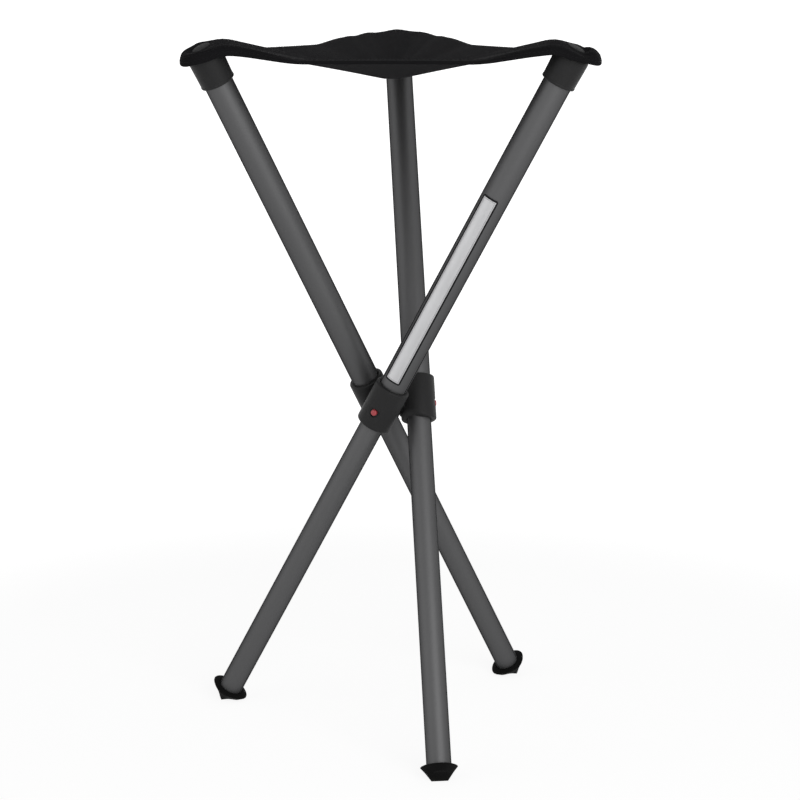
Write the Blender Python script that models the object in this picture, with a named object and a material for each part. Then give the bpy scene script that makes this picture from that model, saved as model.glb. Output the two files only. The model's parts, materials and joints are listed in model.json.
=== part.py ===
"""A telescopic tripod stool: three crossing legs on a small hub, with a sling seat on their tops.

Metres, +Z up. The origin is on the floor, under the middle of the hub. The pieces of a leg are modelled in
the leg's own frame: its origin is the leg's pivot, X points outwards along the pivot's axle, and Z runs up
the leg.
"""

import math

import bmesh
import bpy
from mathutils import Matrix, Vector

# Stance
LEG_NAMES = ("a", "b", "c")
BACK_LEG = 1  # whose seat corner is the back one
FIRST_AXLE_HEADING = math.radians(-114.0)
LEG_TILT = math.radians(29.0)  # from upright, with the stool open
PIVOT_TO_SOLE = 0.326  # along the leg, to the ridge of the foot
PIVOT_TO_SEAT = 0.352  # along the leg, to the top of the seat's corner

# Fits
GAP = 0.0003  # between two pieces that are seated on each other
SLIDE_CLEARANCE = 0.0003  # round a piece that slides

# Leg tubes
UPPER_TUBE_OD = 0.024
UPPER_TUBE_WALL = 0.0012
LOWER_TUBE_WALL = 0.0010
LOWER_TUBE_OVERLAP = 0.046  # of the lower tube above the pivot, drawn out

# Collars at the crossing
COLLAR_WALL = 0.0027
COLLAR_ABOVE = 0.024
COLLAR_BELOW = 0.0145
COLLAR_EDGE = 0.0012
BOSS_RADIUS = 0.0070
BOSS_HEIGHT = 0.0012

# Pivots and hub
PIN_RADIUS = 0.0022
PIN_HEAD_RADIUS = 0.0045
PIN_HEAD_THICKNESS = 0.0012
PIN_TIP_REACH = 0.0024  # hub's middle to the tip of a pin
WASHER_RADIUS = 0.0065
WASHER_THICKNESS = 0.0008
HUB_FACE_REACH = 0.0054  # hub's middle to the face that a washer lies on
HUB_CORNER_CUT = 0.0008  # off each corner of the hub's triangle
HUB_HEIGHT = 0.028

# Lock of the lower tube
BUTTON_RADIUS = 0.0026
BUTTON_PROUD = 0.0004
BUTTON_DISH_RADIUS = 0.0046  # of the finger's dish round the button
BUTTON_DISH_DEPTH = 0.0009
BUTTON_TRAVEL = 0.0016
BUTTON_EDGE = 0.0005
BUTTON_FLANGE_WIDTH = 0.0006
BUTTON_FLANGE_THICKNESS = 0.0006
LEAF_WIDTH = 0.0070
LEAF_THICKNESS = 0.0007
LEAF_ABOVE = 0.005  # above the lock's pin
LEAF_BELOW = 0.022  # below it, to the middle of the bend
LOCK_PIN_RADIUS = 0.0022

# Guide plug in the top of the lower tube
PLUG_LENGTH = 0.012
PLUG_FLANGE_THICKNESS = 0.003
PLUG_BORE_RADIUS = 0.0050

# Feet
FOOT_RADIUS = 0.0153  # along the ridge
FOOT_LOBE_RADIUS = 0.0167  # across the ridge
FOOT_TOP_RADIUS = 0.0142
FOOT_RIM_HEIGHT = 0.0122  # ridge to the widest ring
FOOT_HEIGHT = 0.0153  # ridge to the top of the cup
FOOT_RIDGE_HALF_LENGTH = 0.0052
FOOT_TOE_RADIUS = 0.0090  # of the ring where the foot's rounded end runs into its side
FOOT_TOE_HEIGHT = 0.0022
FOOT_FLOOR_HEIGHT = 0.0088  # ridge to the floor of the socket
FOOT_STEM_LENGTH = 0.018

# Corner caps
CAP_LENGTH = 0.0274
CAP_WALL = 0.0017
CAP_FLARE = 0.0008  # how much wider the cap is at its top
CAP_END_THICKNESS = 0.0030
CAP_TOP_EDGE = 0.0050
CAP_RIM_EDGE = 0.0009

# Seat
CLOTH_THICKNESS = 0.0030
CORNER_CREST_RADIUS = 0.0142  # about the leg, where the cloth starts to turn down
SIDE_REACH = 0.0840  # hub's axis to the middle of a side
SEAT_SAG = 0.0270  # of the middle, under the corners' tops
FRONT_SIDE_SAG = 0.0100  # of the middle of the side between the last leg and the first
BACK_SIDE_SAG = 0.0034  # of the middle of the other sides
FRONT_FALL_ANGLE = math.radians(26)  # from a front corner's heading to where its sides have fallen
BACK_FALL_ANGLE = math.radians(52)  # the same at the back corner, on the second leg
PEAK_ANGLE = math.radians(3)  # from a corner's heading to where a side starts to fall
CORNER_PEAK = 0.0060  # of a side's start, over the corners' tops
CORNER_LIFT = 0.0100  # more, of the sling right behind a corner, before the corner's flat cuts it off
LIFT_ANGLE = math.radians(8)  # from a corner's heading to where that lift is gone
SLING_CURVE = 0.92  # 1 for a straight fall from a side to the middle, more for a bowl
CORNER_BEND = 0.0070  # how softly the sling turns into the corner's flat
CORNER_DISH = 0.0024  # of a corner's crest over the flat under the rivet's head
SKIRT_ANGLE = math.radians(26)  # from a corner's heading to where the turned-down skirt ends
SKIRT_OUT = 0.0044
SKIRT_DROP = 0.0135
SKIRT_TIP_LIFT = 0.0080  # by which the skirt is shorter at a corner's tip
SKIRT_TIP_ANGLE = math.radians(4)
SKIRT_LEAN = 0.12  # how much of the skirt's drop is straight, and not curled
HEM_WIDTH = 0.0075
HEM_DROP = 0.0008

# Rivets of the seat
RIVET_HEAD_RADIUS = 0.0078
RIVET_SINK = 0.0004  # of the head's seat into the cloth
RIVET_HEAD_THICKNESS = 0.0018
RIVET_SHANK_RADIUS = 0.0025
RIVET_TAIL_RADIUS = 0.0045
RIVET_TAIL_THICKNESS = 0.0012

# Label on leg a
LABEL_START = 0.0315  # above the pivot
LABEL_LENGTH = 0.183
LABEL_HALF_ANGLE = math.radians(35.0)
LABEL_THICKNESS = 0.0003

# Mesh density
TUBE_SEGMENTS = 28
SMALL_SEGMENTS = 16
LABEL_SEGMENTS = 8
BEND_SEGMENTS = 10
CAP_EDGE_SEGMENTS = 3
SEAT_CUT_SEGMENTS = 22
SEAT_STEPS_TO_CORNER = 8
SEAT_STEP_EVENNESS = 0.17  # 1 for even steps, less to crowd them at the corners
SEAT_RINGS = (0.33, 0.62, 0.82, 0.92, 1.0)
SKIRT_RINGS = 3

# Sizes that follow from the ones above
UPPER_RADIUS = UPPER_TUBE_OD / 2
UPPER_BORE = UPPER_RADIUS - UPPER_TUBE_WALL
LOWER_RADIUS = UPPER_BORE - SLIDE_CLEARANCE
LOWER_BORE = LOWER_RADIUS - LOWER_TUBE_WALL
COLLAR_BORE = LOWER_RADIUS + SLIDE_CLEARANCE
COLLAR_SOCKET = UPPER_RADIUS + GAP
COLLAR_RADIUS = COLLAR_SOCKET + COLLAR_WALL
COLLAR_SHOULDER = BOSS_RADIUS + GAP  # the upper tube's end is seated clear of the boss
BOSS_FACE_REACH = HUB_FACE_REACH + GAP + WASHER_THICKNESS + GAP
PIVOT_RADIUS = BOSS_FACE_REACH + BOSS_HEIGHT + COLLAR_RADIUS
PIVOT_HEIGHT = PIVOT_TO_SOLE * math.cos(LEG_TILT)
PIN_HEAD_IN = COLLAR_BORE + GAP
PIN_HEAD_OUT = PIN_HEAD_IN + PIN_HEAD_THICKNESS
BUTTON_IN = LOWER_RADIUS + SLIDE_CLEARANCE + BUTTON_TRAVEL
BUTTON_SHOULDER = BUTTON_IN + BUTTON_FLANGE_THICKNESS
BUTTON_FLANGE_RADIUS = BUTTON_RADIUS + BUTTON_FLANGE_WIDTH
BUTTON_OUT = COLLAR_RADIUS + BUTTON_PROUD
SOLE_END = -PIVOT_TO_SOLE
SOCKET_FLOOR = SOLE_END + FOOT_FLOOR_HEIGHT
SOCKET_RADIUS = LOWER_RADIUS + GAP
STEM_RADIUS = LOWER_BORE - GAP
RIVET_SEAT = PIVOT_TO_SEAT - RIVET_SINK
CAP_TOP = PIVOT_TO_SEAT - CLOTH_THICKNESS - GAP
CAP_BOTTOM = CAP_TOP - CAP_LENGTH
CAP_CEILING = CAP_TOP - CAP_END_THICKNESS
CAP_SOCKET = UPPER_RADIUS + GAP
CAP_RADIUS = CAP_SOCKET + CAP_WALL
CORNER_OUT = PIVOT_TO_SEAT * math.sin(LEG_TILT)
CORNER_REACH = math.hypot(PIVOT_RADIUS, CORNER_OUT)
CORNER_HEIGHT = PIVOT_HEIGHT + PIVOT_TO_SEAT * math.cos(LEG_TILT)
SECTOR = math.pi / len(LEG_NAMES)  # from a corner's heading to the middle of a side

FINISHES = {  # colour, roughness, metallic
    "anodised_tube": ((0.085, 0.085, 0.088, 1), 0.38, 0.85),
    "black_nylon": ((0.022, 0.022, 0.023, 1), 0.55, 0.0),
    "black_rubber": ((0.011, 0.011, 0.011, 1), 0.80, 0.0),
    "black_webbing": ((0.012, 0.012, 0.013, 1), 0.85, 0.0),
    "red_button": ((0.48, 0.055, 0.070, 1), 0.40, 0.0),
    "bare_steel": ((0.45, 0.45, 0.46, 1), 0.35, 1.0),
    "grey_rivet": ((0.050, 0.050, 0.052, 1), 0.50, 0.3),
    "white_nylon": ((0.70, 0.70, 0.67, 1), 0.45, 0.0),
    "silver_foil": ((0.62, 0.62, 0.63, 1), 0.35, 0.6),
}


def clear_scene():
    for thing in list(bpy.data.objects):
        bpy.data.objects.remove(thing, do_unlink=True)


def material(finish):
    """The finish's material, made the first time that it is asked for."""
    made = bpy.data.materials.get(finish)
    if made:
        return made
    colour, roughness, metallic = FINISHES[finish]
    made = bpy.data.materials.new(finish)
    made.use_nodes = True
    made.diffuse_color = colour
    shader = made.node_tree.nodes["Principled BSDF"]
    shader.inputs["Base Color"].default_value = colour
    shader.inputs["Roughness"].default_value = roughness
    shader.inputs["Metallic"].default_value = metallic
    return made


def add_empty(name, place, parent=None):
    """An empty at a place given as a matrix in its parent's frame."""
    empty = bpy.data.objects.new(name, None)
    bpy.context.scene.collection.objects.link(empty)
    empty.parent = parent
    empty.matrix_local = place
    return empty


def add_part(name, shape, finish, parent=None):
    """A named object made from a bmesh, shaded smooth with its edges kept."""
    mesh = bpy.data.meshes.new(name)
    shape.to_mesh(mesh)
    shape.free()
    mesh.shade_smooth()
    mesh.set_sharp_from_angle(angle=math.radians(35))
    part = bpy.data.objects.new(name, mesh)
    bpy.context.scene.collection.objects.link(part)
    part.data.materials.append(material(finish))
    part.parent = parent
    return part


def combine(part, shape, operation):
    """Cuts a shape from a part, or joins it on. The shape is in the frame of the part's parent."""
    mesh = bpy.data.meshes.new(f"{part.name}_{operation.lower()}")
    shape.to_mesh(mesh)
    shape.free()
    tool = bpy.data.objects.new(mesh.name, mesh)
    bpy.context.scene.collection.objects.link(tool)
    tool.parent = part.parent
    tool.hide_render = True
    tool.display_type = "WIRE"
    step = part.modifiers.new(operation.title(), "BOOLEAN")
    step.operation = operation
    step.solver = "EXACT"
    step.object = tool


def turned(profile, segments=TUBE_SEGMENTS):
    """A solid turned about Z from a closed profile of (radius, height) points."""
    shape = bmesh.new()
    points = [shape.verts.new((radius, 0, height)) for radius, height in profile]
    edges = []
    for start, end in zip(points, points[1:] + points[:1]):
        on_axis = start.co.x == 0 and end.co.x == 0
        if not on_axis:
            edges.append(shape.edges.new((start, end)))
    bmesh.ops.spin(
        shape,
        geom=points + edges,
        cent=(0, 0, 0),
        axis=(0, 0, 1),
        angle=2 * math.pi,
        steps=segments,
        use_merge=True,
    )
    bmesh.ops.remove_doubles(shape, verts=shape.verts, dist=1e-7)
    bmesh.ops.recalc_face_normals(shape, faces=shape.faces)
    return shape


def along_axle(shape, outwards=True):
    """Turns a shape that was made about Z to run along the leg's X, outwards or towards the hub."""
    angle = math.pi / 2 if outwards else -math.pi / 2
    bmesh.ops.rotate(shape, verts=shape.verts, cent=(0, 0, 0), matrix=Matrix.Rotation(angle, 3, "Y"))
    return shape


def prism(outline, axis, depth):
    """A solid with a flat outline of points, extruded both ways along an axis."""
    shape = bmesh.new()
    half = Vector(axis) * (depth / 2)
    face = shape.faces.new([shape.verts.new(Vector(point) - half) for point in outline])
    moved = bmesh.ops.extrude_face_region(shape, geom=[face])["geom"]
    top = [item for item in moved if isinstance(item, bmesh.types.BMVert)]
    bmesh.ops.translate(shape, verts=top, vec=half * 2)
    bmesh.ops.recalc_face_normals(shape, faces=shape.faces)
    return shape


def ease(value, start, end):
    """0 before start and 1 after end, with a smooth rise between."""
    share = min(max((value - start) / (end - start), 0.0), 1.0)
    return share * share * (3 - 2 * share)


def axle_heading(index):
    return FIRST_AXLE_HEADING + 2 * math.pi * index / len(LEG_NAMES)


def leg_place(index):
    """The frame of a leg's pivot, in the open stool."""
    heading = axle_heading(index)
    pivot = Vector((PIVOT_RADIUS * math.cos(heading), PIVOT_RADIUS * math.sin(heading), PIVOT_HEIGHT))
    turn = Matrix.Rotation(heading, 4, "Z") @ Matrix.Rotation(-LEG_TILT, 4, "X")
    return Matrix.Translation(pivot) @ turn


def make_upper_tube(name, leg):
    bottom = COLLAR_SHOULDER + GAP
    top = CAP_CEILING - GAP
    profile = [(UPPER_BORE, bottom), (UPPER_RADIUS, bottom), (UPPER_RADIUS, top), (UPPER_BORE, top)]
    add_part(f"upper_tube_{name}", turned(profile), "anodised_tube", leg)


def make_corner_cap(name, leg):
    profile = [
        (CAP_SOCKET, CAP_BOTTOM),
        (CAP_RADIUS - CAP_RIM_EDGE, CAP_BOTTOM),
        (CAP_RADIUS, CAP_BOTTOM + CAP_RIM_EDGE),
        *cap_top_profile(0),
        (RIVET_SHANK_RADIUS + GAP, CAP_TOP),
        (RIVET_SHANK_RADIUS + GAP, CAP_CEILING),
        (CAP_SOCKET, CAP_CEILING),
    ]
    add_part(f"corner_cap_{name}", turned(profile), "black_nylon", leg)


def cap_top_profile(clearance):
    """The cap's rounded top edge, from its side to its flat, moved out by a clearance."""
    radius = CAP_RADIUS + CAP_FLARE - CAP_TOP_EDGE
    height = CAP_TOP - CAP_TOP_EDGE
    bend = CAP_TOP_EDGE + clearance
    points = []
    for step in range(CAP_EDGE_SEGMENTS + 1):
        angle = math.pi / 2 * step / CAP_EDGE_SEGMENTS
        points.append((radius + bend * math.cos(angle), height + bend * math.sin(angle)))
    return points


def make_seat_rivet(name, leg):
    under_head = RIVET_SEAT + GAP
    tail_top = CAP_CEILING - GAP
    top = under_head + RIVET_HEAD_THICKNESS
    profile = [
        (0, tail_top - RIVET_TAIL_THICKNESS),
        (RIVET_TAIL_RADIUS, tail_top - RIVET_TAIL_THICKNESS),
        (RIVET_TAIL_RADIUS, tail_top),
        (RIVET_SHANK_RADIUS, tail_top),
        (RIVET_SHANK_RADIUS, under_head),
        (RIVET_HEAD_RADIUS, under_head),
        (RIVET_HEAD_RADIUS, under_head + RIVET_HEAD_THICKNESS / 3),
        (RIVET_HEAD_RADIUS - RIVET_HEAD_THICKNESS, top),
        (0, top),
    ]
    add_part(f"seat_rivet_{name}", turned(profile, SMALL_SEGMENTS), "grey_rivet", leg)


def make_collar(name, leg):
    """The sleeve at the crossing: socket for the upper tube, guide for the lower one, boss for the pivot."""
    profile = [
        (COLLAR_BORE, -COLLAR_BELOW),
        (COLLAR_RADIUS - COLLAR_EDGE, -COLLAR_BELOW),
        (COLLAR_RADIUS, -COLLAR_BELOW + COLLAR_EDGE),
        (COLLAR_RADIUS, COLLAR_ABOVE - COLLAR_EDGE),
        (COLLAR_RADIUS - COLLAR_EDGE, COLLAR_ABOVE),
        (COLLAR_SOCKET, COLLAR_ABOVE),
        (COLLAR_SOCKET, COLLAR_SHOULDER),
        (COLLAR_BORE, COLLAR_SHOULDER),
    ]
    collar = add_part(f"hub_collar_{name}", turned(profile), "black_nylon", leg)
    boss_face = COLLAR_RADIUS + BOSS_HEIGHT
    boss = turned([(0, PIN_HEAD_IN), (BOSS_RADIUS, PIN_HEAD_IN), (BOSS_RADIUS, boss_face), (0, boss_face)])
    combine(collar, along_axle(boss, outwards=False), "UNION")
    recess = PIN_HEAD_OUT + GAP
    pin_drill = [
        (0, 0),
        (PIN_HEAD_RADIUS + GAP, 0),
        (PIN_HEAD_RADIUS + GAP, recess),
        (PIN_RADIUS + GAP, recess),
        (PIN_RADIUS + GAP, boss_face + BOSS_HEIGHT),
        (0, boss_face + BOSS_HEIGHT),
    ]
    combine(collar, along_axle(turned(pin_drill, SMALL_SEGMENTS), outwards=False), "DIFFERENCE")
    shoulder = BUTTON_SHOULDER + GAP
    dish_floor = COLLAR_RADIUS - BUTTON_DISH_DEPTH
    button_drill = [
        (0, 0),
        (BUTTON_FLANGE_RADIUS + GAP, 0),
        (BUTTON_FLANGE_RADIUS + GAP, shoulder),
        (BUTTON_RADIUS + GAP, shoulder),
        (BUTTON_RADIUS + GAP, dish_floor),
        (BUTTON_FLANGE_RADIUS + GAP, dish_floor),
        (BUTTON_DISH_RADIUS, COLLAR_RADIUS),
        (BUTTON_DISH_RADIUS, COLLAR_RADIUS + BUTTON_DISH_DEPTH),
        (0, COLLAR_RADIUS + BUTTON_DISH_DEPTH),
    ]
    combine(collar, along_axle(turned(button_drill, SMALL_SEGMENTS)), "DIFFERENCE")


def make_lock_button(name, leg):
    profile = [
        (0, BUTTON_IN),
        (BUTTON_FLANGE_RADIUS, BUTTON_IN),
        (BUTTON_FLANGE_RADIUS, BUTTON_SHOULDER),
        (BUTTON_RADIUS, BUTTON_SHOULDER),
        (BUTTON_RADIUS, BUTTON_OUT - BUTTON_EDGE),
        (BUTTON_RADIUS - BUTTON_EDGE, BUTTON_OUT),
        (0, BUTTON_OUT),
    ]
    axle = add_empty(f"button_{name}", Matrix.Identity(4), leg)
    add_part(f"lock_button_{name}", along_axle(turned(profile, SMALL_SEGMENTS)), "red_button", axle)


def make_pivot(name, arm):
    """The pin that a leg turns on, and the washer between its collar and the hub."""
    pin_length = PIVOT_RADIUS - PIN_TIP_REACH
    pin = [
        (0, PIN_HEAD_IN),
        (PIN_HEAD_RADIUS, PIN_HEAD_IN),
        (PIN_HEAD_RADIUS, PIN_HEAD_OUT),
        (PIN_RADIUS, PIN_HEAD_OUT),
        (PIN_RADIUS, pin_length),
        (0, pin_length),
    ]
    add_part(f"pivot_pin_{name}", along_axle(turned(pin, SMALL_SEGMENTS), outwards=False), "bare_steel", arm)
    far_face = PIVOT_RADIUS - HUB_FACE_REACH - GAP
    near_face = far_face - WASHER_THICKNESS
    hole = PIN_RADIUS + GAP
    washer = [(hole, near_face), (WASHER_RADIUS, near_face), (WASHER_RADIUS, far_face), (hole, far_face)]
    washer_shape = along_axle(turned(washer, SMALL_SEGMENTS), outwards=False)
    add_part(f"pivot_washer_{name}", washer_shape, "white_nylon", arm)


def make_hub():
    """A three-sided block with a blind hole in each side for a pivot's pin."""
    corner_reach = HUB_FACE_REACH / math.cos(SECTOR) - HUB_CORNER_CUT
    half_face = (corner_reach - HUB_FACE_REACH * math.cos(SECTOR)) / math.sin(SECTOR)
    outline = []
    for index in range(len(LEG_NAMES)):
        turn = Matrix.Rotation(axle_heading(index), 3, "Z")
        outline.append(turn @ Vector((HUB_FACE_REACH, -half_face, 0)))
        outline.append(turn @ Vector((HUB_FACE_REACH, half_face, 0)))
    middle = add_empty("hub", Matrix.Translation((0, 0, PIVOT_HEIGHT)))
    hub = add_part("centre_hub", prism(outline, (0, 0, 1), HUB_HEIGHT), "black_nylon", middle)
    hole = PIN_RADIUS + GAP
    start = PIN_TIP_REACH - GAP
    end = HUB_FACE_REACH + WASHER_THICKNESS
    for index in range(len(LEG_NAMES)):
        drill = along_axle(turned([(0, start), (hole, start), (hole, end), (0, end)], SMALL_SEGMENTS))
        turn = Matrix.Rotation(axle_heading(index), 3, "Z")
        bmesh.ops.rotate(drill, verts=drill.verts, cent=(0, 0, 0), matrix=turn)
        combine(hub, drill, "DIFFERENCE")


def make_lower_tube(name, slide):
    bottom = SOCKET_FLOOR + GAP
    top = LOWER_TUBE_OVERLAP
    profile = [(LOWER_BORE, bottom), (LOWER_RADIUS, bottom), (LOWER_RADIUS, top), (LOWER_BORE, top)]
    tube = add_part(f"lower_tube_{name}", turned(profile), "anodised_tube", slide)
    hole = LOCK_PIN_RADIUS + GAP
    drill = turned([(0, 0), (hole, 0), (hole, COLLAR_RADIUS), (0, COLLAR_RADIUS)], SMALL_SEGMENTS)
    combine(tube, along_axle(drill), "DIFFERENCE")


def make_guide_plug(name, slide):
    seat = LOWER_TUBE_OVERLAP + GAP
    profile = [
        (PLUG_BORE_RADIUS, LOWER_TUBE_OVERLAP - PLUG_LENGTH),
        (STEM_RADIUS, LOWER_TUBE_OVERLAP - PLUG_LENGTH),
        (STEM_RADIUS, seat),
        (LOWER_RADIUS, seat),
        (LOWER_RADIUS, seat + PLUG_FLANGE_THICKNESS),
        (PLUG_BORE_RADIUS, seat + PLUG_FLANGE_THICKNESS),
    ]
    add_part(f"guide_plug_{name}", turned(profile), "white_nylon", slide)


def make_lock_spring(name, slide):
    """A strip of spring steel bent to a U across the lower tube, with the lock's pin on its outer arm."""
    outer = math.sqrt(LOWER_BORE**2 - (LEAF_WIDTH / 2) ** 2) - GAP
    inner = outer - LEAF_THICKNESS
    bend = -LEAF_BELOW
    outline = []
    for radius, steps in ((outer, range(BEND_SEGMENTS + 1)), (inner, range(BEND_SEGMENTS, -1, -1))):
        arc = []
        for step in steps:
            angle = -math.pi * step / BEND_SEGMENTS
            arc.append((radius * math.cos(angle), 0, bend + radius * math.sin(angle)))
        ends = [(arc[0][0], 0, LEAF_ABOVE), (arc[-1][0], 0, LEAF_ABOVE)]
        outline += [ends[0], *arc, ends[1]]
    spring = add_part(f"lock_spring_{name}", prism(outline, (0, 1, 0), LEAF_WIDTH), "bare_steel", slide)
    root = inner + LEAF_THICKNESS / 2
    tip = BUTTON_IN - GAP
    pin = turned([(0, root), (LOCK_PIN_RADIUS, root), (LOCK_PIN_RADIUS, tip), (0, tip)], SMALL_SEGMENTS)
    combine(spring, along_axle(pin), "UNION")


def make_foot(name, slide):
    """A rubber foot that grips the tube inside and out, cut to two soles that meet at a ridge.

    The soles slope by the leg's tilt, so one of them lies flat on the floor when the stool is open.
    """
    stem_top = SOCKET_FLOOR + FOOT_STEM_LENGTH
    rim = SOLE_END + FOOT_RIM_HEIGHT
    top = SOLE_END + FOOT_HEIGHT
    profile = [
        (0, SOLE_END),
        (FOOT_RIDGE_HALF_LENGTH, SOLE_END),
        (FOOT_TOE_RADIUS, SOLE_END + FOOT_TOE_HEIGHT),
        (FOOT_RADIUS, rim),
        (FOOT_TOP_RADIUS, top),
        (SOCKET_RADIUS, top),
        (SOCKET_RADIUS, SOCKET_FLOOR),
        (STEM_RADIUS, SOCKET_FLOOR),
        (STEM_RADIUS, stem_top),
        (0, stem_top),
    ]
    shape = turned(profile)
    for point in shape.verts:
        if point.co.xy.length > SOCKET_RADIUS + GAP:
            point.co.y *= FOOT_LOBE_RADIUS / FOOT_RADIUS
    for side in (-1, 1):
        sole_normal = Vector((0, side * math.sin(LEG_TILT), -math.cos(LEG_TILT)))
        cut = bmesh.ops.bisect_plane(
            shape,
            geom=shape.verts[:] + shape.edges[:] + shape.faces[:],
            plane_co=(0, 0, SOLE_END),
            plane_no=sole_normal,
            clear_outer=True,
        )
        rim_edges = [item for item in cut["geom_cut"] if isinstance(item, bmesh.types.BMEdge)]
        bmesh.ops.holes_fill(shape, edges=rim_edges)
    bmesh.ops.recalc_face_normals(shape, faces=shape.faces)
    add_part(f"rubber_foot_{name}", shape, "black_rubber", slide)


def make_label(leg):
    """A thin curved plate on the outer side of the first leg's upper tube."""
    near = UPPER_RADIUS + GAP
    far = near + LABEL_THICKNESS
    outline = []
    for radius, steps in ((far, range(LABEL_SEGMENTS + 1)), (near, range(LABEL_SEGMENTS, -1, -1))):
        for step in steps:
            angle = LABEL_HALF_ANGLE * (2 * step / LABEL_SEGMENTS - 1)
            outline.append((radius * math.cos(angle), radius * math.sin(angle), LABEL_START + LABEL_LENGTH / 2))
    add_part("leg_label", prism(outline, (0, 0, 1), LABEL_LENGTH), "silver_foil", leg)


def skirt_share(offset):
    """1 at a corner's heading and 0 past the place where a side has lost its turned-down skirt."""
    return 1 - ease(abs(offset), 0, SKIRT_ANGLE)


def crest_radius(offset):
    """The plan of the crest, where the sling turns down: round corners joined by hollow sides."""
    turn = abs(offset)
    tangent_reach = CORNER_REACH * math.cos(SECTOR) + CORNER_CREST_RADIUS
    touch = math.atan2(
        CORNER_CREST_RADIUS * math.sin(SECTOR),
        CORNER_REACH + CORNER_CREST_RADIUS * math.cos(SECTOR),
    )
    if turn <= touch:
        across = CORNER_REACH * math.sin(turn)
        return CORNER_REACH * math.cos(turn) + math.sqrt(CORNER_CREST_RADIUS**2 - across**2)
    share = ((SECTOR - turn) / (SECTOR - touch)) ** 2
    reach = SIDE_REACH + (tangent_reach - SIDE_REACH) * share
    return reach / math.cos(SECTOR - turn)


def sling_height(offset, share, sag, fall_angle):
    """The sling's height under or over the corners' tops, before a corner's flat cuts it off."""
    peak = 1 - ease(abs(offset), PEAK_ANGLE, fall_angle)
    lift = 1 - ease(abs(offset), 0, LIFT_ANGLE)
    rim = -sag + (CORNER_PEAK + sag) * peak + CORNER_LIFT * lift
    return -SEAT_SAG + (rim + SEAT_SAG) * share**SLING_CURVE


def soft_lower(first, second, bend):
    """The lower of two heights, rounded where they meet."""
    share = max(bend - abs(first - second), 0.0) / bend
    return min(first, second) - share * share * bend / 4


class SeatCorner:
    """The corner of the seat on one leg: its heading, and the flat that the leg's rivet holds."""

    def __init__(self, index):
        place = leg_place(index)
        self.top = place @ Vector((0, 0, PIVOT_TO_SEAT))
        self.up = place.to_3x3() @ Vector((0, 0, 1))
        self.heading = math.atan2(self.top.y, self.top.x)
        self.sag_before = FRONT_SIDE_SAG if index == 0 else BACK_SIDE_SAG
        self.sag_after = FRONT_SIDE_SAG if index == len(LEG_NAMES) - 1 else BACK_SIDE_SAG
        self.fall_angle = BACK_FALL_ANGLE if index == BACK_LEG else FRONT_FALL_ANGLE

    def crest(self, offset):
        """The plan point of the crest at an angle from the corner's heading."""
        radius = crest_radius(offset)
        return Vector((math.cos(self.heading + offset), math.sin(self.heading + offset))) * radius

    def outwards(self, offset):
        """The crest's outward direction in plan."""
        step = math.radians(0.2)
        along = self.crest(offset + step) - self.crest(offset - step)
        return Vector((along.y, -along.x)).normalized()

    def upper_point(self, offset, share):
        """A point of the seat's upper face, at a share of the way from the middle to the crest."""
        plan = self.crest(offset) * share
        from_leg = plan - self.top.xy
        flat = -from_leg.dot(self.up.xy) / self.up.z
        dish = CORNER_DISH * ease(from_leg.length, RIVET_HEAD_RADIUS, CORNER_CREST_RADIUS)
        sag = self.sag_before if offset < 0 else self.sag_after
        height = soft_lower(sling_height(offset, share, sag, self.fall_angle), flat + dish, CORNER_BEND)
        return Vector((plan.x, plan.y, CORNER_HEIGHT + height))

    def skirt_point(self, offset, ring):
        """A point of the cloth's edge: turned down at a corner, and lying out flat along a side."""
        corner = skirt_share(offset)
        share = ring / SKIRT_RINGS
        tip = 1 - ease(abs(offset), 0, SKIRT_TIP_ANGLE)
        turned_out = SKIRT_OUT * math.sin(math.pi / 2 * share)
        curl = SKIRT_LEAN * share + (1 - SKIRT_LEAN) * share**2
        turned_down = (SKIRT_DROP - SKIRT_TIP_LIFT * tip) * curl
        out = turned_out * corner + HEM_WIDTH * share * (1 - corner)
        down = turned_down * corner + HEM_DROP * share * (1 - corner)
        point = self.upper_point(offset, 1)
        direction = self.outwards(offset)
        return point + Vector((direction.x * out, direction.y * out, -down))


def seat_offsets():
    """Angles from a corner's heading across its sector, closer together near the corner."""
    steps = []
    for step in range(-SEAT_STEPS_TO_CORNER, SEAT_STEPS_TO_CORNER):
        share = abs(step) / SEAT_STEPS_TO_CORNER
        turn = SECTOR * (SEAT_STEP_EVENNESS * share + (1 - SEAT_STEP_EVENNESS) * share**2)
        steps.append(math.copysign(turn, step))
    return steps


def add_ridged_faces(shape, corners):
    """Two faces on four points, split along the higher diagonal, so that no crease sinks into the cloth."""
    first, second, third, fourth = corners
    if first.co.z + third.co.z > second.co.z + fourth.co.z:
        shape.faces.new((first, second, third))
        shape.faces.new((first, third, fourth))
    else:
        shape.faces.new((second, third, fourth))
        shape.faces.new((second, fourth, first))


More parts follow.
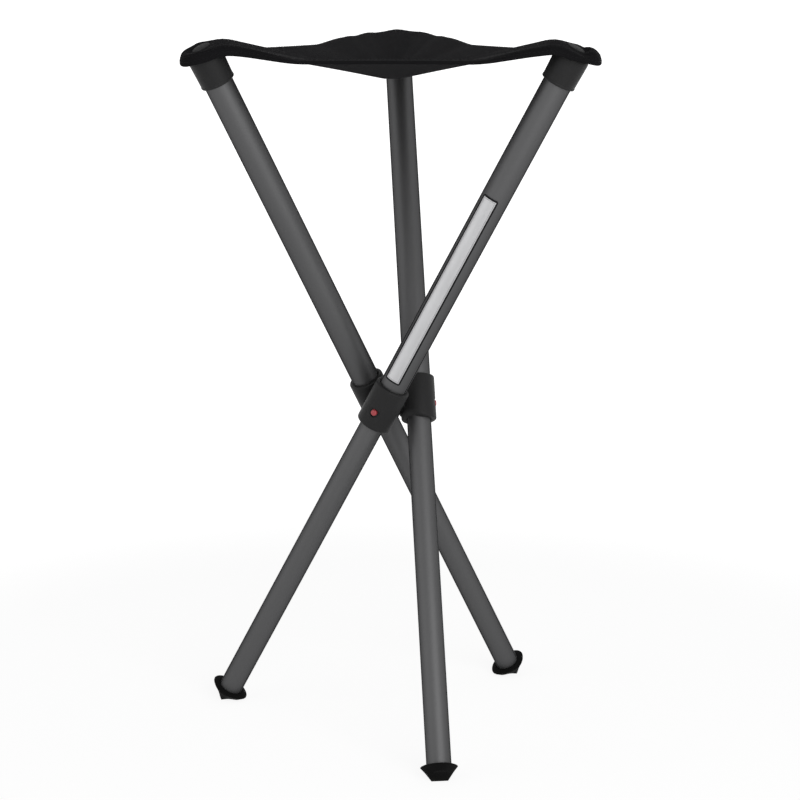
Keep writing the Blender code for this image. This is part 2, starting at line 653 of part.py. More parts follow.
def make_seat():
    """The sling as a sheet with thickness, cut clear of the caps and rivets at its corners."""
    shape = bmesh.new()
    middle = shape.verts.new((0, 0, CORNER_HEIGHT - SEAT_SAG))
    spokes = []
    for index in range(len(LEG_NAMES)):
        corner = SeatCorner(index)
        for offset in seat_offsets():
            points = [corner.upper_point(offset, share) for share in SEAT_RINGS]
            points += [corner.skirt_point(offset, ring + 1) for ring in range(SKIRT_RINGS)]
            spokes.append([shape.verts.new(point) for point in points])
    for near, far in zip(spokes, spokes[1:] + spokes[:1]):
        shape.faces.new((middle, near[0], far[0]))
        for ring in range(len(near) - 1):
            add_ridged_faces(shape, (near[ring], near[ring + 1], far[ring + 1], far[ring]))
    seat = add_part("seat", shape, "black_webbing")
    wall = seat.modifiers.new("Cloth", "SOLIDIFY")
    wall.thickness = CLOTH_THICKNESS
    wall.offset = -1
    wall.use_even_offset = True
    for index in range(len(LEG_NAMES)):
        hole = RIVET_SHANK_RADIUS + GAP
        profile = [
            (0, CAP_BOTTOM),
            (CAP_RADIUS + CAP_FLARE + GAP, CAP_BOTTOM),
            *cap_top_profile(GAP),
            (hole, CAP_TOP + GAP),
            (hole, RIVET_SEAT),
            (RIVET_HEAD_RADIUS + GAP, RIVET_SEAT),
            (RIVET_HEAD_RADIUS + GAP, RIVET_SEAT + RIVET_HEAD_RADIUS),
            (0, RIVET_SEAT + RIVET_HEAD_RADIUS),
        ]
        clearance = turned(profile, SEAT_CUT_SEGMENTS)
        bmesh.ops.transform(clearance, matrix=leg_place(index), verts=clearance.verts)
        combine(seat, clearance, "DIFFERENCE")


def main():
    clear_scene()
    make_hub()
    make_seat()
    for index, name in enumerate(LEG_NAMES):
        leg = add_empty(f"leg_{name}", leg_place(index))
        make_upper_tube(name, leg)
        make_corner_cap(name, leg)
        make_seat_rivet(name, leg)
        make_collar(name, leg)
        make_lock_button(name, leg)
        arm = add_empty(f"hub_arm_{name}", leg_place(index))
        make_pivot(name, arm)
        slide = add_empty(f"lower_leg_{name}", Matrix.Identity(4), leg)
        make_lower_tube(name, slide)
        make_guide_plug(name, slide)
        make_lock_spring(name, slide)
        make_foot(name, slide)
        if index == 0:
            make_label(leg)


main()
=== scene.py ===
import json
import math

import bmesh
import bpy
from mathutils import Matrix, Vector

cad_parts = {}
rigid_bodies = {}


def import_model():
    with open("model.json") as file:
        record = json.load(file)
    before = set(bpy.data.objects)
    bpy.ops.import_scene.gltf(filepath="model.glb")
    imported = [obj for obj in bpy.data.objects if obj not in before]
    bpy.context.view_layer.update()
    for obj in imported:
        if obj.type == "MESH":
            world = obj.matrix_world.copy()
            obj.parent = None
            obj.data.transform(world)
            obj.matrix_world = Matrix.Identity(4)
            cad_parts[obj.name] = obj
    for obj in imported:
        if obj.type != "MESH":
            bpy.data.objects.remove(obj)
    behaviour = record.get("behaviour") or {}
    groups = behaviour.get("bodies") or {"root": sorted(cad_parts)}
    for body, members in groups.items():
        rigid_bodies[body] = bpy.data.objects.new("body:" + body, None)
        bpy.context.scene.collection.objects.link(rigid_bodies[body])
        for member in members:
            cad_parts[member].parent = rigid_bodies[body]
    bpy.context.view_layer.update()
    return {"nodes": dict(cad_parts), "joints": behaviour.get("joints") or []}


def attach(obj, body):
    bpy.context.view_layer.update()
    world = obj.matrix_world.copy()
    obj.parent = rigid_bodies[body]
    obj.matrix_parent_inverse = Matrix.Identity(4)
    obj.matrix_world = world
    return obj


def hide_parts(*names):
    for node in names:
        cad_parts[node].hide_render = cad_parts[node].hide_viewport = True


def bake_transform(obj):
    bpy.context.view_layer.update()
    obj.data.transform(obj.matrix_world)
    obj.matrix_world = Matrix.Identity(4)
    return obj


for leftover in list(bpy.data.objects):
    bpy.data.objects.remove(leftover)
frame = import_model()
scene = bpy.context.scene
joints = {joint["name"]: joint for joint in frame["joints"]}
legLetters = "abc"
print("frame loaded:", len(frame["nodes"]), "nodes")


# shader nodes

class Wire:  # an output socket, on which arithmetic adds Math nodes
    def __init__(self, nodes, socket):
        self.nodes = nodes
        self.socket = socket

    def maths(self, operation, *values):
        return self.nodes.node("ShaderNodeMath", {"operation": operation}, dict(enumerate(values)))

    def __add__(self, other):
        return self.maths("ADD", self, other)

    def __sub__(self, other):
        return self.maths("SUBTRACT", self, other)

    def __rsub__(self, other):
        return self.maths("SUBTRACT", other, self)

    def __mul__(self, other):
        return self.maths("MULTIPLY", self, other)

    def __abs__(self):
        return self.maths("ABSOLUTE", self)

    __radd__ = __add__
    __rmul__ = __mul__

    def sine(self):
        return self.maths("SINE", self)

    def root(self):
        return self.maths("SQRT", self)

    def least(self, other):
        return self.maths("MINIMUM", self, other)

    def most(self, other):
        return self.maths("MAXIMUM", self, other)

    def rise(self, start, end):  # 0 before start, 1 after end
        settings = {"interpolation_type": "SMOOTHSTEP"}
        inputs = {"Value": self, "From Min": start, "From Max": end}
        return self.nodes.node("ShaderNodeMapRange", settings, inputs)


class Nodes:  # the node tree of a material or of the world
    def __init__(self, tree):
        self.tree = tree

    def feed(self, socket, value):
        if isinstance(value, Wire):
            self.tree.links.new(value.socket, socket)
        elif isinstance(value, tuple) and len(value) == 3 and socket.type == "RGBA":
            socket.default_value = (*value, 1)
        else:
            socket.default_value = value

    def node(self, kind, settings=None, inputs=None, output=0):
        made = self.tree.nodes.new(kind)
        for name, value in (settings or {}).items():
            setattr(made, name, value)
        for key, value in (inputs or {}).items():
            self.feed(made.inputs[key], value)
        return Wire(self, made.outputs[output])


class Finish(Nodes):  # a material
    def __init__(self, name):
        self.material = bpy.data.materials.new(name)
        self.material.use_nodes = True
        super().__init__(self.material.node_tree)
        self.shader = self.tree.nodes["Principled BSDF"]

    def mix(self, share, first, second):
        return self.node("ShaderNodeMix", {"data_type": "RGBA"}, {0: share, 6: first, 7: second}, 2)

    def noise(self, place, size, detail, stretch=(1, 1, 1)):
        scale = tuple(1 / (size * along) for along in stretch)
        spread = self.node("ShaderNodeMapping", {}, {"Vector": place, "Scale": scale})
        return self.node("ShaderNodeTexNoise", {}, {"Vector": spread, "Scale": 1.0, "Detail": detail})

    def bump(self, height, distance, strength):
        return self.node("ShaderNodeBump", {}, {"Height": height, "Distance": distance, "Strength": strength})

    def surface(self, inputs):
        for name, value in inputs.items():
            self.feed(self.shader.inputs[name], value)
        return self.material

    def dress(self, look, tone, roughness, height, more=None):  # what most of the finishes share
        return self.surface({
            "Base Color": self.mix(tone, look["colour"], look["paleColour"]),
            "Roughness": look["roughness"] + roughness,
            "Metallic": look.get("metallic", 0.0),
            "Specular IOR Level": look.get("specular", 0.5),
            "Normal": self.bump(height, *look["relief"]),
            **(more or {}),
        })

    def legSpace(self):  # a piece's own coordinates along its leg
        return self.node("ShaderNodeAttribute", {"attribute_name": "legSpace"}, output="Vector")

    def objectSpace(self):
        return self.node("ShaderNodeTexCoord", output="Object")

    def parts(self, place):
        split = self.node("ShaderNodeSeparateXYZ", {}, {"Vector": place})
        outputs = split.socket.node.outputs
        return [Wire(self, outputs[axis]) for axis in ("X", "Y", "Z")]


# finishes: grain, cloud and the like hold a noise's size in metres, detail and stretch; relief holds the
# depth and strength of the bumps

tubeLook = {
    "colour": (0.094, 0.094, 0.096),
    "paleColour": (0.116, 0.116, 0.118),
    "roughness": 0.52,
    "metallic": 0.82,
    "specular": 0.05,
    "edgeTint": (0.10, 0.10, 0.10),
    "grain": (0.00035, 3.0, (1, 1, 90)),
    "cloud": (0.05, 3.0, (1, 1, 2.5)),
    "scuff": (0.0011, 1.0, (1, 1, 30)),
    "relief": (0.00002, 0.6),
}


def anodisedFinish():
    finish = Finish("anodisedTube")
    place = finish.legSpace()
    grain = finish.noise(place, *tubeLook["grain"])
    cloud = finish.noise(place, *tubeLook["cloud"])
    scuff = finish.noise(place, *tubeLook["scuff"]).rise(0.70, 0.78) * cloud.rise(0.45, 0.65)
    tone = 0.65 * cloud + 0.35 * grain
    roughness = 0.10 * (grain - 0.5) + 0.08 * scuff
    edge = {"Specular Tint": tubeLook["edgeTint"]}
    return finish.dress(tubeLook, tone, roughness, grain + 0.8 * scuff, edge)


nylonLook = {
    "colour": (0.0195, 0.0195, 0.0200),
    "paleColour": (0.0275, 0.0275, 0.0280),
    "roughness": 0.52,
    "specular": 0.14,
    "grain": (0.00042, 2.0),
    "cloud": (0.011, 3.0),
    "relief": (0.00006, 0.5),
}


def nylonFinish():
    finish = Finish("blackNylon")
    place = finish.objectSpace()
    grain = finish.noise(place, *nylonLook["grain"])
    cloud = finish.noise(place, *nylonLook["cloud"])
    tone = 0.6 * cloud + 0.4 * grain
    roughness = 0.16 * (cloud - 0.5) + 0.10 * (grain - 0.5)
    return finish.dress(nylonLook, tone, roughness, grain.rise(0.25, 0.75))


rubberLook = {
    "colour": (0.0066, 0.0066, 0.0068),
    "paleColour": (0.032, 0.031, 0.029),  # dust
    "dustTop": 0.006,  # above the floor
    "dustShare": 0.35,
    "roughness": 0.74,
    "specular": 0.04,
    "grain": (0.0006, 3.0),
    "cloud": (0.004, 3.0),
    "relief": (0.00010, 0.5),
}


def rubberFinish():
    finish = Finish("blackRubber")
    place = finish.objectSpace()
    grain = finish.noise(place, *rubberLook["grain"])
    cloud = finish.noise(place, *rubberLook["cloud"])
    low = 1 - finish.parts(place)[2].rise(0.0, rubberLook["dustTop"])
    dust = low * cloud.rise(0.45, 0.75) * rubberLook["dustShare"]
    return finish.dress(rubberLook, dust + 0.12 * grain, 0.14 * (cloud - 0.5) + 0.12 * dust, grain)


clothLook = {
    "colour": (0.0064, 0.0062, 0.0070),
    "paleColour": (0.0132, 0.0129, 0.0144),
    # hem band: the binding's own tone, made lighter than the field as painted light on the turned-down front
    # edge, which the lamps light less
    "hemColourWithPaintedLight": (0.0130, 0.0128, 0.0138),
    "roughness": 0.86,
    "specular": 0.03,
    "sheen": 0.01,
    "sheenRoughness": 0.40,
    "threadPitch": 0.00105,
    "hemWidth": 0.0088,
    "hemSoft": 0.0006,
    "ribPitch": 0.0013,
    "fibre": (0.00030, 2.0),
    "fade": (0.030, 3.0),
    "relief": (0.00022, 0.55),
}


def clothFinish():
    finish = Finish("blackWebbing")
    cut = finish.node("ShaderNodeUVMap", {"uv_map": "cut"})
    hem = finish.node("ShaderNodeUVMap", {"uv_map": "hem"})
    across, along, _ = finish.parts(cut)
    walk, inwards, _ = finish.parts(hem)
    turn = math.pi / clothLook["threadPitch"]
    warp = (across * turn).sine()
    weft = (along * turn).sine()
    over = 0.5 + 0.5 * (warp * weft)
    weave = (abs(warp) * over).most(abs(weft) * (1 - over))
    rib = 0.5 + 0.5 * (walk * (2 * math.pi / clothLook["ribPitch"])).sine()
    hemShare = 1 - inwards.rise(clothLook["hemWidth"] - clothLook["hemSoft"], clothLook["hemWidth"])
    fibre = finish.noise(cut, *clothLook["fibre"])
    fade = finish.noise(cut, *clothLook["fade"])
    relief = weave * (1 - hemShare) + rib * 0.7 * hemShare + 0.35 * fibre
    field = finish.mix(0.55 * weave + 0.45 * fade, clothLook["colour"], clothLook["paleColour"])
    return finish.surface({
        # the hem band gets the lighter hem colour: the binding's tone plus painted light on the turned-down
        # edge
        "Base Color": finish.mix(hemShare * (0.6 + 0.4 * rib), field, clothLook["hemColourWithPaintedLight"]),
        "Roughness": clothLook["roughness"] + 0.12 * (fibre - 0.5),
        "Specular IOR Level": clothLook["specular"],
        "Sheen Weight": clothLook["sheen"],
        "Sheen Roughness": clothLook["sheenRoughness"],
        "Normal": finish.bump(relief, *clothLook["relief"]),
    })


threadLook = {
    "colour": (0.008, 0.008, 0.009),
    "paleColour": (0.017, 0.017, 0.018),
    "roughness": 0.60,
    "specular": 0.08,
    "grain": (0.00025, 2.0),
    "relief": (0.00005, 0.6),
}


def threadFinish():
    finish = Finish("blackThread")
    grain = finish.noise(finish.objectSpace(), *threadLook["grain"])
    return finish.dress(threadLook, grain, 0.15 * grain, grain)


buttonLook = {
    "colour": (0.44, 0.050, 0.062),
    "paleColour": (0.53, 0.070, 0.082),
    "roughness": 0.36,
    "coat": 0.15,
    "grain": (0.00035, 2.0),
    "cloud": (0.0022, 2.0),
    "relief": (0.00003, 0.5),
}


def buttonFinish():
    finish = Finish("redButton")
    place = finish.legSpace()
    grain = finish.noise(place, *buttonLook["grain"])
    cloud = finish.noise(place, *buttonLook["cloud"])
    coat = {"Coat Weight": buttonLook["coat"] * cloud}
    return finish.dress(buttonLook, cloud, 0.14 * (grain - 0.5), grain, coat)


rivetLook = {
    "colour": (0.015, 0.015, 0.016),
    "paleColour": (0.022, 0.022, 0.023),
    "roughness": 0.52,
    "specular": 0.04,
    "ringPitch": 0.00045,
    "cloud": (0.003, 3.0),
    "relief": (0.00002, 0.4),
}


def rivetFinish():
    finish = Finish("greyRivet")
    place = finish.legSpace()
    across, along, _ = finish.parts(place)
    radius = (across * across + along * along).root()
    rings = (radius * (2 * math.pi / rivetLook["ringPitch"])).sine()
    cloud = finish.noise(place, *rivetLook["cloud"])
    return finish.dress(rivetLook, cloud, 0.16 * (cloud - 0.5), rings + cloud)


foilLook = {
    "silver": (0.46, 0.46, 0.47),
    "paleSilver": (0.66, 0.66, 0.67),
    "frameColour": (0.012, 0.012, 0.013),
    "frameWidth": 0.0015,
    "frameSoft": 0.00008,
    "rule": 0.0024,  # edge to the thin inner line
    "ruleWidth": 0.00022,
    "roughness": 0.30,
    "metallic": 0.55,
    "specular": 0.08,
    "brush": (0.00022, 3.0, (60, 1, 1)),
    "cloud": (0.016, 2.0, (1, 2, 1)),
    "relief": (0.00006, 0.5),
}


def foilFinish(halfWidth, halfLength):
    finish = Finish("silverFoil")
    flat = finish.node("ShaderNodeUVMap", {"uv_map": "flat"})
    across, along, _ = finish.parts(flat)
    edge = (halfWidth - abs(across)).least(halfLength - abs(along))
    width, soft = foilLook["frameWidth"], foilLook["frameSoft"]
    border = 1 - edge.rise(width - soft, width + soft)
    rule = 1 - abs(edge - foilLook["rule"]).rise(foilLook["ruleWidth"] * 0.4, foilLook["ruleWidth"] * 0.7)
    ink = border.most(0.75 * rule)
    brush = finish.noise(flat, *foilLook["brush"])
    cloud = finish.noise(flat, *foilLook["cloud"])
    foil = finish.mix(0.5 * brush + 0.5 * cloud, foilLook["silver"], foilLook["paleSilver"])
    return finish.surface({
        "Base Color": finish.mix(ink, foil, foilLook["frameColour"]),
        "Metallic": foilLook["metallic"] * (1 - ink),
        "Roughness": foilLook["roughness"] + 0.16 * brush + 0.12 * ink,
        "Specular IOR Level": foilLook["specular"],
        "Normal": finish.bump(0.25 * brush + cloud + 0.3 * ink, *foilLook["relief"]),
    })


innerLooks = {
    "bareSteel": {
        "colour": (0.36, 0.36, 0.37),
        "paleColour": (0.50, 0.50, 0.51),
        "roughness": 0.32,
        "roughnessSpread": 0.16,
        "metallic": 1.0,
        "grain": (0.0004, 3.0),
        "cloud": (0.006, 3.0),
        "relief": (0.00002, 0.4),
    },
    "whiteNylon": {
        "colour": (0.62, 0.62, 0.58),
        "paleColour": (0.74, 0.74, 0.71),
        "roughness": 0.44,
        "roughnessSpread": 0.12,
        "grain": (0.0005, 2.0),
        "cloud": (0.008, 3.0),
        "relief": (0.00004, 0.4),
    },
}


def innerFinish(name):
    look = innerLooks[name]
    finish = Finish(name)
    place = finish.objectSpace()
    grain = finish.noise(place, *look["grain"])
    cloud = finish.noise(place, *look["cloud"])
    return finish.dress(look, cloud, look["roughnessSpread"] * (cloud - 0.5), grain)


tubeFinish = anodisedFinish()
nylon = nylonFinish()
rubber = rubberFinish()
cloth = clothFinish()
thread = threadFinish()
buttonRed = buttonFinish()
rivetGrey = rivetFinish()
steel = innerFinish("bareSteel")
whiteNylon = innerFinish("whiteNylon")
print("finishes made")


# shapes, each in its leg's own space: X out along the pivot's axle, Z up the leg

roundSegments = 6  # of a rounded corner
sharpAngle = 38  # in degrees; edges that turn more are drawn sharp
allSmooth = 180
weld = 0.000005  # points closer than this are one
spinWeld = 0.0000001  # the same where a spin closes


def ease(value, start, end):
    share = min(max((value - start) / (end - start), 0), 1)
    return share * share * (3 - 2 * share)


def legFrame(letter):
    out = Vector(joints["fold_" + letter]["axis"]).normalized()
    up = Vector(joints["telescope_" + letter]["axis"]).normalized()
    turn = Matrix((out, up.cross(out), up)).transposed().to_4x4()
    return Matrix.Translation(joints["fold_" + letter]["pos_m"]) @ turn


def everything(shape):
    return shape.verts[:] + shape.edges[:] + shape.faces[:]


def roundCorners(shape, corners, radius):
    bmesh.ops.bevel(
        shape, geom=corners, affect="VERTICES", offset=radius, offset_type="OFFSET",
        segments=roundSegments, profile=0.5, material=-1,
    )


def turned(profile, sides):  # from (radius, height) points; a third number rounds the corner
    shape = bmesh.new()
    points = [shape.verts.new((spot[0], 0, spot[1])) for spot in profile]
    for first, second in zip(points, points[1:] + points[:1]):
        if first.co.x > 0 or second.co.x > 0:
            shape.edges.new((first, second))
    for point, spot in zip(points, profile):
        if len(spot) > 2:
            roundCorners(shape, [point], spot[2])
    bmesh.ops.spin(
        shape, geom=shape.verts[:] + shape.edges[:], cent=(0, 0, 0), axis=(0, 0, 1),
        angle=2 * math.pi, steps=sides, use_merge=True,
    )
    bmesh.ops.remove_doubles(shape, verts=shape.verts, dist=spinWeld)
    bmesh.ops.recalc_face_normals(shape, faces=shape.faces)
    return shape


def alongAxle(shape, outwards=True):
    turn = Matrix.Rotation(math.radians(90 if outwards else -90), 3, "Y")
    bmesh.ops.rotate(shape, verts=shape.verts, cent=(0, 0, 0), matrix=turn)
    return shape


def combined(shape, tool, operation):
    things = []
    for item in (shape, tool):
        mesh = bpy.data.meshes.new("blank")
        item.to_mesh(mesh)
        item.free()
        things.append(bpy.data.objects.new("blank", mesh))
        scene.collection.objects.link(things[-1])
    step = things[0].modifiers.new("cut", "BOOLEAN")
    step.operation = operation
    step.solver = "EXACT"
    step.object = things[1]
    result = bmesh.new()
    result.from_object(things[0], bpy.context.evaluated_depsgraph_get())
    for thing in things:
        mesh = thing.data
        bpy.data.objects.remove(thing)
        bpy.data.meshes.remove(mesh)
    bmesh.ops.remove_doubles(result, verts=result.verts, dist=weld)
    bmesh.ops.dissolve_degenerate(result, edges=result.edges, dist=weld)
    return result


def nodeShape(name):  # a CAD piece's mesh, joined along its edges
    node = frame["nodes"][name]
    shape = bmesh.new()
    shape.from_mesh(node.data)
    bmesh.ops.transform(shape, matrix=node.matrix_world, verts=shape.verts)
    bmesh.ops.remove_doubles(shape, verts=shape.verts, dist=weld)
    return shape


def trim(shape, spot, normal):  # cuts off what lies beyond a plane, and closes the cut
    cut = bmesh.ops.bisect_plane(
        shape, geom=everything(shape), plane_co=spot, plane_no=normal, clear_outer=True
    )
    rim = [item for item in cut["geom_cut"] if isinstance(item, bmesh.types.BMEdge)]
    return bmesh.ops.holes_fill(shape, edges=rim)["faces"]


def meshObject(name, shape, material, sharp=sharpAngle):
    mesh = bpy.data.meshes.new(name)
    shape.to_mesh(mesh)
    shape.free()
    mesh.shade_smooth()
    mesh.set_sharp_from_angle(angle=math.radians(sharp))
    mesh.materials.append(material)
    piece = bpy.data.objects.new(name, mesh)
    scene.collection.objects.link(piece)
    return piece


def settle(piece, body, node):
    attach(piece, body)
    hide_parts(node)


def onLeg(name, shape, letter, material):
    space = shape.verts.layers.float_vector.new("legSpace")
    for vert in shape.verts:
        vert[space] = vert.co
    bmesh.ops.transform(shape, matrix=legFrame(letter), verts=shape.verts)
    return meshObject(name + letter.upper(), shape, material)


def legPiece(name, shape, letter, material, body, node):  # body and node lack the leg's letter
    settle(onLeg(name, shape, letter, material), body + letter, node + letter)


upperTube = {"radius": 0.0120, "bore": 0.0108, "bottom": 0.0076, "top": 0.3454, "edge": 0.0003}
lowerTube = {"radius": 0.0105, "bore": 0.0095, "bottom": -0.3169, "top": 0.0460, "edge": 0.0003}
tubeSides = 160
lockHole = {"radius": 0.0025, "depth": 0.02, "sides": 48}  # in a lower tube, from the leg's middle


def tubeShape(tube):
    return turned([
        (tube["bore"], tube["bottom"], tube["edge"]),
        (tube["radius"], tube["bottom"], tube["edge"]),
        (tube["radius"], tube["top"], tube["edge"]),
        (tube["bore"], tube["top"], tube["edge"]),
    ], tubeSides)


def makeTubes(letter):
    shape = tubeShape(upperTube)
    legPiece("upperTube", shape, letter, tubeFinish, "leg_", "upper_tube_")
    radius, depth = lockHole["radius"], lockHole["depth"]
    drill = turned([(0, 0), (radius, 0), (radius, depth), (0, depth)], lockHole["sides"])
    shape = combined(tubeShape(lowerTube), alongAxle(drill), "DIFFERENCE")
    legPiece("lowerTube", shape, letter, tubeFinish, "lower_leg_", "lower_tube_")


collar = {
    "radius": 0.0153,
    "socket": 0.0123,
    "bore": 0.0108,
    "bottom": -0.0152,
    "top": 0.0240,
    "shoulder": 0.0073,
    "bottomRound": 0.0018,
    "topRound": 0.0015,
    "innerRound": 0.0004,
    "sides": 160,
    "reliefStart": 0.0090,  # of the lower end's cut on the side where the next leg passes
    "reliefSoft": 0.0012,
    "reliefFull": 0.85,  # of the way down to the lower end
    "bossStart": 0.0125,  # along the axle, from the leg's middle
    "bossFace": 0.0162,
    "bossRim": 0.0174,
    "bossRimRounds": (0.0008, 0.0003),  # outside and inside
    "bossFoot": 0.0143,
    "bossRadius": 0.0092,
    "bossHollow": 0.0074,  # round the washer
    "bossHalfWidth": 0.0082,
    "bossSides": 96,
    "buttonHole": 0.0029,
    "buttonRing": 0.0039,
    "ringFloor": 0.0134,
    "drillSpan": (0.009, 0.018),
    "drillSides": 64,
    "dishRadius": 0.0053,  # of the ball that the finger's dish is cut with
    "dishStretch": 2.45,  # of that ball, round the leg
    "dishDepth": 0.0018,
    "dishSegments": (96, 64),
}


def collarBoss():
    outer, inner = collar["bossRimRounds"]
    boss = turned([
        (0, collar["bossStart"]),
        (collar["bossFoot"], collar["bossStart"]),
        (collar["bossRadius"], collar["bossRim"], outer),
        (collar["bossHollow"], collar["bossRim"], inner),
        (collar["bossHollow"], collar["bossFace"]),
        (0, collar["bossFace"]),
    ], collar["bossSides"])
    for side in (-1, 1):
        trim(boss, (0, side * collar["bossHalfWidth"], 0), (0, side, 0))
    bmesh.ops.recalc_face_normals(boss, faces=boss.faces)
    return alongAxle(boss, False)


def collarDish():
    ball = bmesh.new()
    centre = collar["radius"] - collar["dishDepth"] + collar["dishRadius"]
    place = Matrix.Translation((centre, 0, 0)) @ Matrix.Diagonal((1, collar["dishStretch"], 1, 1))
    around, down = collar["dishSegments"]
    bmesh.ops.create_uvsphere(
        ball, u_segments=around, v_segments=down, radius=collar["dishRadius"], matrix=place
    )
    return ball


def collarDrill():
    hole, ring, ledge = collar["buttonHole"], collar["buttonRing"], collar["ringFloor"]
    start, end = collar["drillSpan"]
    profile = [(0, start), (hole, start), (hole, ledge), (ring, ledge), (ring, end), (0, end)]
    return alongAxle(turned(profile, collar["drillSides"]))


def makeCollar(letter):
    shape = turned([
        (collar["bore"], collar["bottom"], collar["innerRound"]),
        (collar["radius"], collar["bottom"], collar["bottomRound"]),
        (collar["radius"], collar["top"], collar["topRound"]),
        (collar["socket"], collar["top"], collar["innerRound"]),
        (collar["socket"], collar["shoulder"]),
        (collar["bore"], collar["shoulder"]),
    ], collar["sides"])
    shape = combined(shape, collarBoss(), "UNION")
    for vert in shape.verts:
        beyond = (-vert.co.x - vert.co.y) / math.sqrt(2) - collar["reliefStart"]
        rise = (beyond + math.hypot(beyond, collar["reliefSoft"])) / 2
        vert.co.z += rise * ease(-vert.co.z, 0, -collar["bottom"] * collar["reliefFull"])
    shape = combined(shape, collarDish(), "DIFFERENCE")
    shape = combined(shape, collarDrill(), "DIFFERENCE")
    legPiece("hubCollar", shape, letter, nylon, "leg_", "hub_collar_")


button = {
    "bottom": 0.0124,
    "shoulder": 0.0130,
    "flange": 0.0032,
    "radius": 0.0026,
    "rim": 0.0157,
    "rimRound": 0.0006,
    "top": 0.0160,
    "crownFall": 0.00006,  # from the top, half way out
    "sides": 64,
}


def makeButton(letter):
    shape = turned([
        (0, button["bottom"]),
        (button["flange"], button["bottom"]),
        (button["flange"], button["shoulder"]),
        (button["radius"], button["shoulder"]),
        (button["radius"], button["rim"], button["rimRound"]),
        (button["radius"] / 2, button["top"] - button["crownFall"]),
        (0, button["top"]),
    ], button["sides"])
    legPiece("lockButton", alongAxle(shape), letter, buttonRed, "button_", "lock_button_")


cap = {
    "socket": 0.0123,
    "radius": 0.0140,
    "topRadius": 0.0148,
    "lip": 0.0004,  # by which the lower rim stands out
    "lipHeight": 0.0016,
    "lipStep": (0.0001, 0.0005),  # out and up, from the lip to the wall
    "bottom": 0.3213,
    "ceiling": 0.3457,
    "top": 0.3487,
    "topRound": 0.0050,
    "rimRound": 0.0006,
    "edge": 0.0003,
    "rivetHole": 0.0028,
    "sides": 144,
}


def makeCap(letter):
    lipRadius = cap["radius"] + cap["lip"]
    lipTop = cap["bottom"] + cap["lipHeight"]
    out, up = cap["lipStep"]
    shape = turned([
        (cap["socket"], cap["bottom"], cap["edge"]),
        (lipRadius, cap["bottom"], cap["rimRound"]),
        (lipRadius, lipTop, cap["edge"]),
        (cap["radius"] + out, lipTop + up, cap["edge"]),
        (cap["topRadius"], cap["top"], cap["topRound"]),
        (cap["rivetHole"], cap["top"]),
        (cap["rivetHole"], cap["ceiling"]),
        (cap["socket"], cap["ceiling"]),
    ], cap["sides"])
    legPiece("cornerCap", shape, letter, nylon, "leg_", "corner_cap_")


rivet = {
    "tailBottom": 0.3442,
    "tailTop": 0.3454,
    "tailRadius": 0.0045,
    "tailRound": 0.0005,
    "shank": 0.0025,
    "headBottom": 0.3519,
    "headTop": 0.3534,
    "headRadius": 0.0078,
    "headRounds": (0.0002, 0.0008),  # of its lower and upper edge
    "edgeHeight": 0.0010,
    "crownShare": 0.55,  # of the radius, where the flat top begins
    "crownFall": 0.0001,
    "crownRound": 0.0015,
    "sides": 96,
}


def makeRivet(letter):
    lower, upper = rivet["headRounds"]
    crown = rivet["headRadius"] * rivet["crownShare"]
    shape = turned([
        (0, rivet["tailBottom"]),
        (rivet["tailRadius"], rivet["tailBottom"], rivet["tailRound"]),
        (rivet["tailRadius"], rivet["tailTop"]),
        (rivet["shank"], rivet["tailTop"]),
        (rivet["shank"], rivet["headBottom"]),
        (rivet["headRadius"], rivet["headBottom"], lower),
        (rivet["headRadius"], rivet["headBottom"] + rivet["edgeHeight"], upper),
        (crown, rivet["headTop"] - rivet["crownFall"], rivet["crownRound"]),
        (0, rivet["headTop"]),
    ], rivet["sides"])
    legPiece("seatRivet", shape, letter, rivetGrey, "leg_", "seat_rivet_")


foot = {
    "ridge": -0.3260,
    "ridgeHalf": 0.0069,
    "spare": 0.001,  # below the ridge, cut off with the soles
    "rim": 0.0163,
    "rimHeight": 0.0128,
    "rimRound": 0.0021,
    "stretch": 1.098,  # of the rim, across the ridge
    "pinches": (0.274, 0.041),  # of the diagonals, at the ridge and at the rim
    "flankFall": 0.0009,  # of the rim, at the ridge's ends
    "rings": 12,
    "sides": 128,
    "soleTilt": math.radians(29),
    "soleLength": 0.0150,
    "soleHollow": 0.0017,
    "rollerLength": 0.06,  # of the cylinders that hollow the soles
    "rollerSides": 240,
    "neck": 0.0116,
    "neckRound": 0.0005,
    "neckHeight": 0.0138,
    "socket": 0.0108,
    "socketRound": 0.0003,
    "socketWall": (0.0002, 0.0001),  # beside and under the socket, left round
    "floorHeight": 0.0088,
    "stem": 0.0092,
    "stemRound": 0.0010,
    "stemLength": 0.0180,
}


